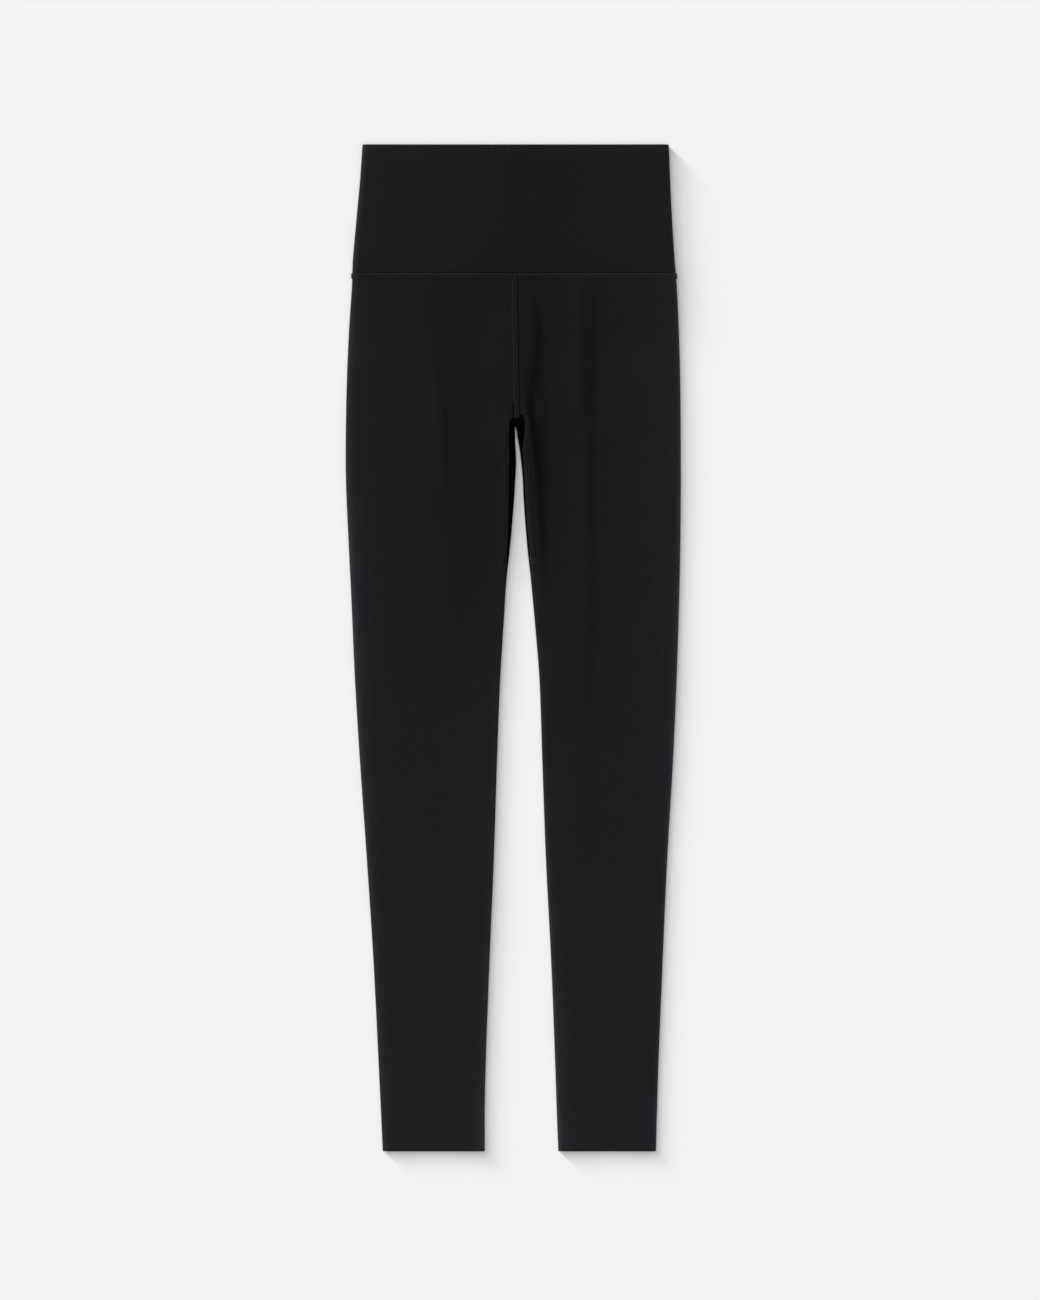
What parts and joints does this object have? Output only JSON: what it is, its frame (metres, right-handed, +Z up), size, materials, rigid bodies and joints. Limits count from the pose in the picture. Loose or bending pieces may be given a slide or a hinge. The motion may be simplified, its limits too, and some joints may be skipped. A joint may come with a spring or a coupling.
{
  "type": "high-waisted leggings",
  "caption": "High-waisted full-length stretch leggings laid flat, with a deep folded waistband, a seamed front and a gusset.",
  "frame": {"origin": "centre of the garment's outline, on the surface that it lies on", "axes": "+Z up from the surface, through the back layer to the front; +Y towards the waist; +X to the right of someone who looks at the front with the waist at the top"},
  "size_m": [0.3249, 0.976, 0.0062],
  "materials": {
    "band_knit": "fine matte stretch knit, black",
    "leg_knit": "fine matte stretch knit, black",
    "gusset_knit": "matte stretch knit, deep black"
  },
  "bodies": {
    "root": {"waistband": "band_knit", "leg_left": "leg_knit", "leg_right": "leg_knit", "gusset": "gusset_knit"}
  },
  "joints": []
}
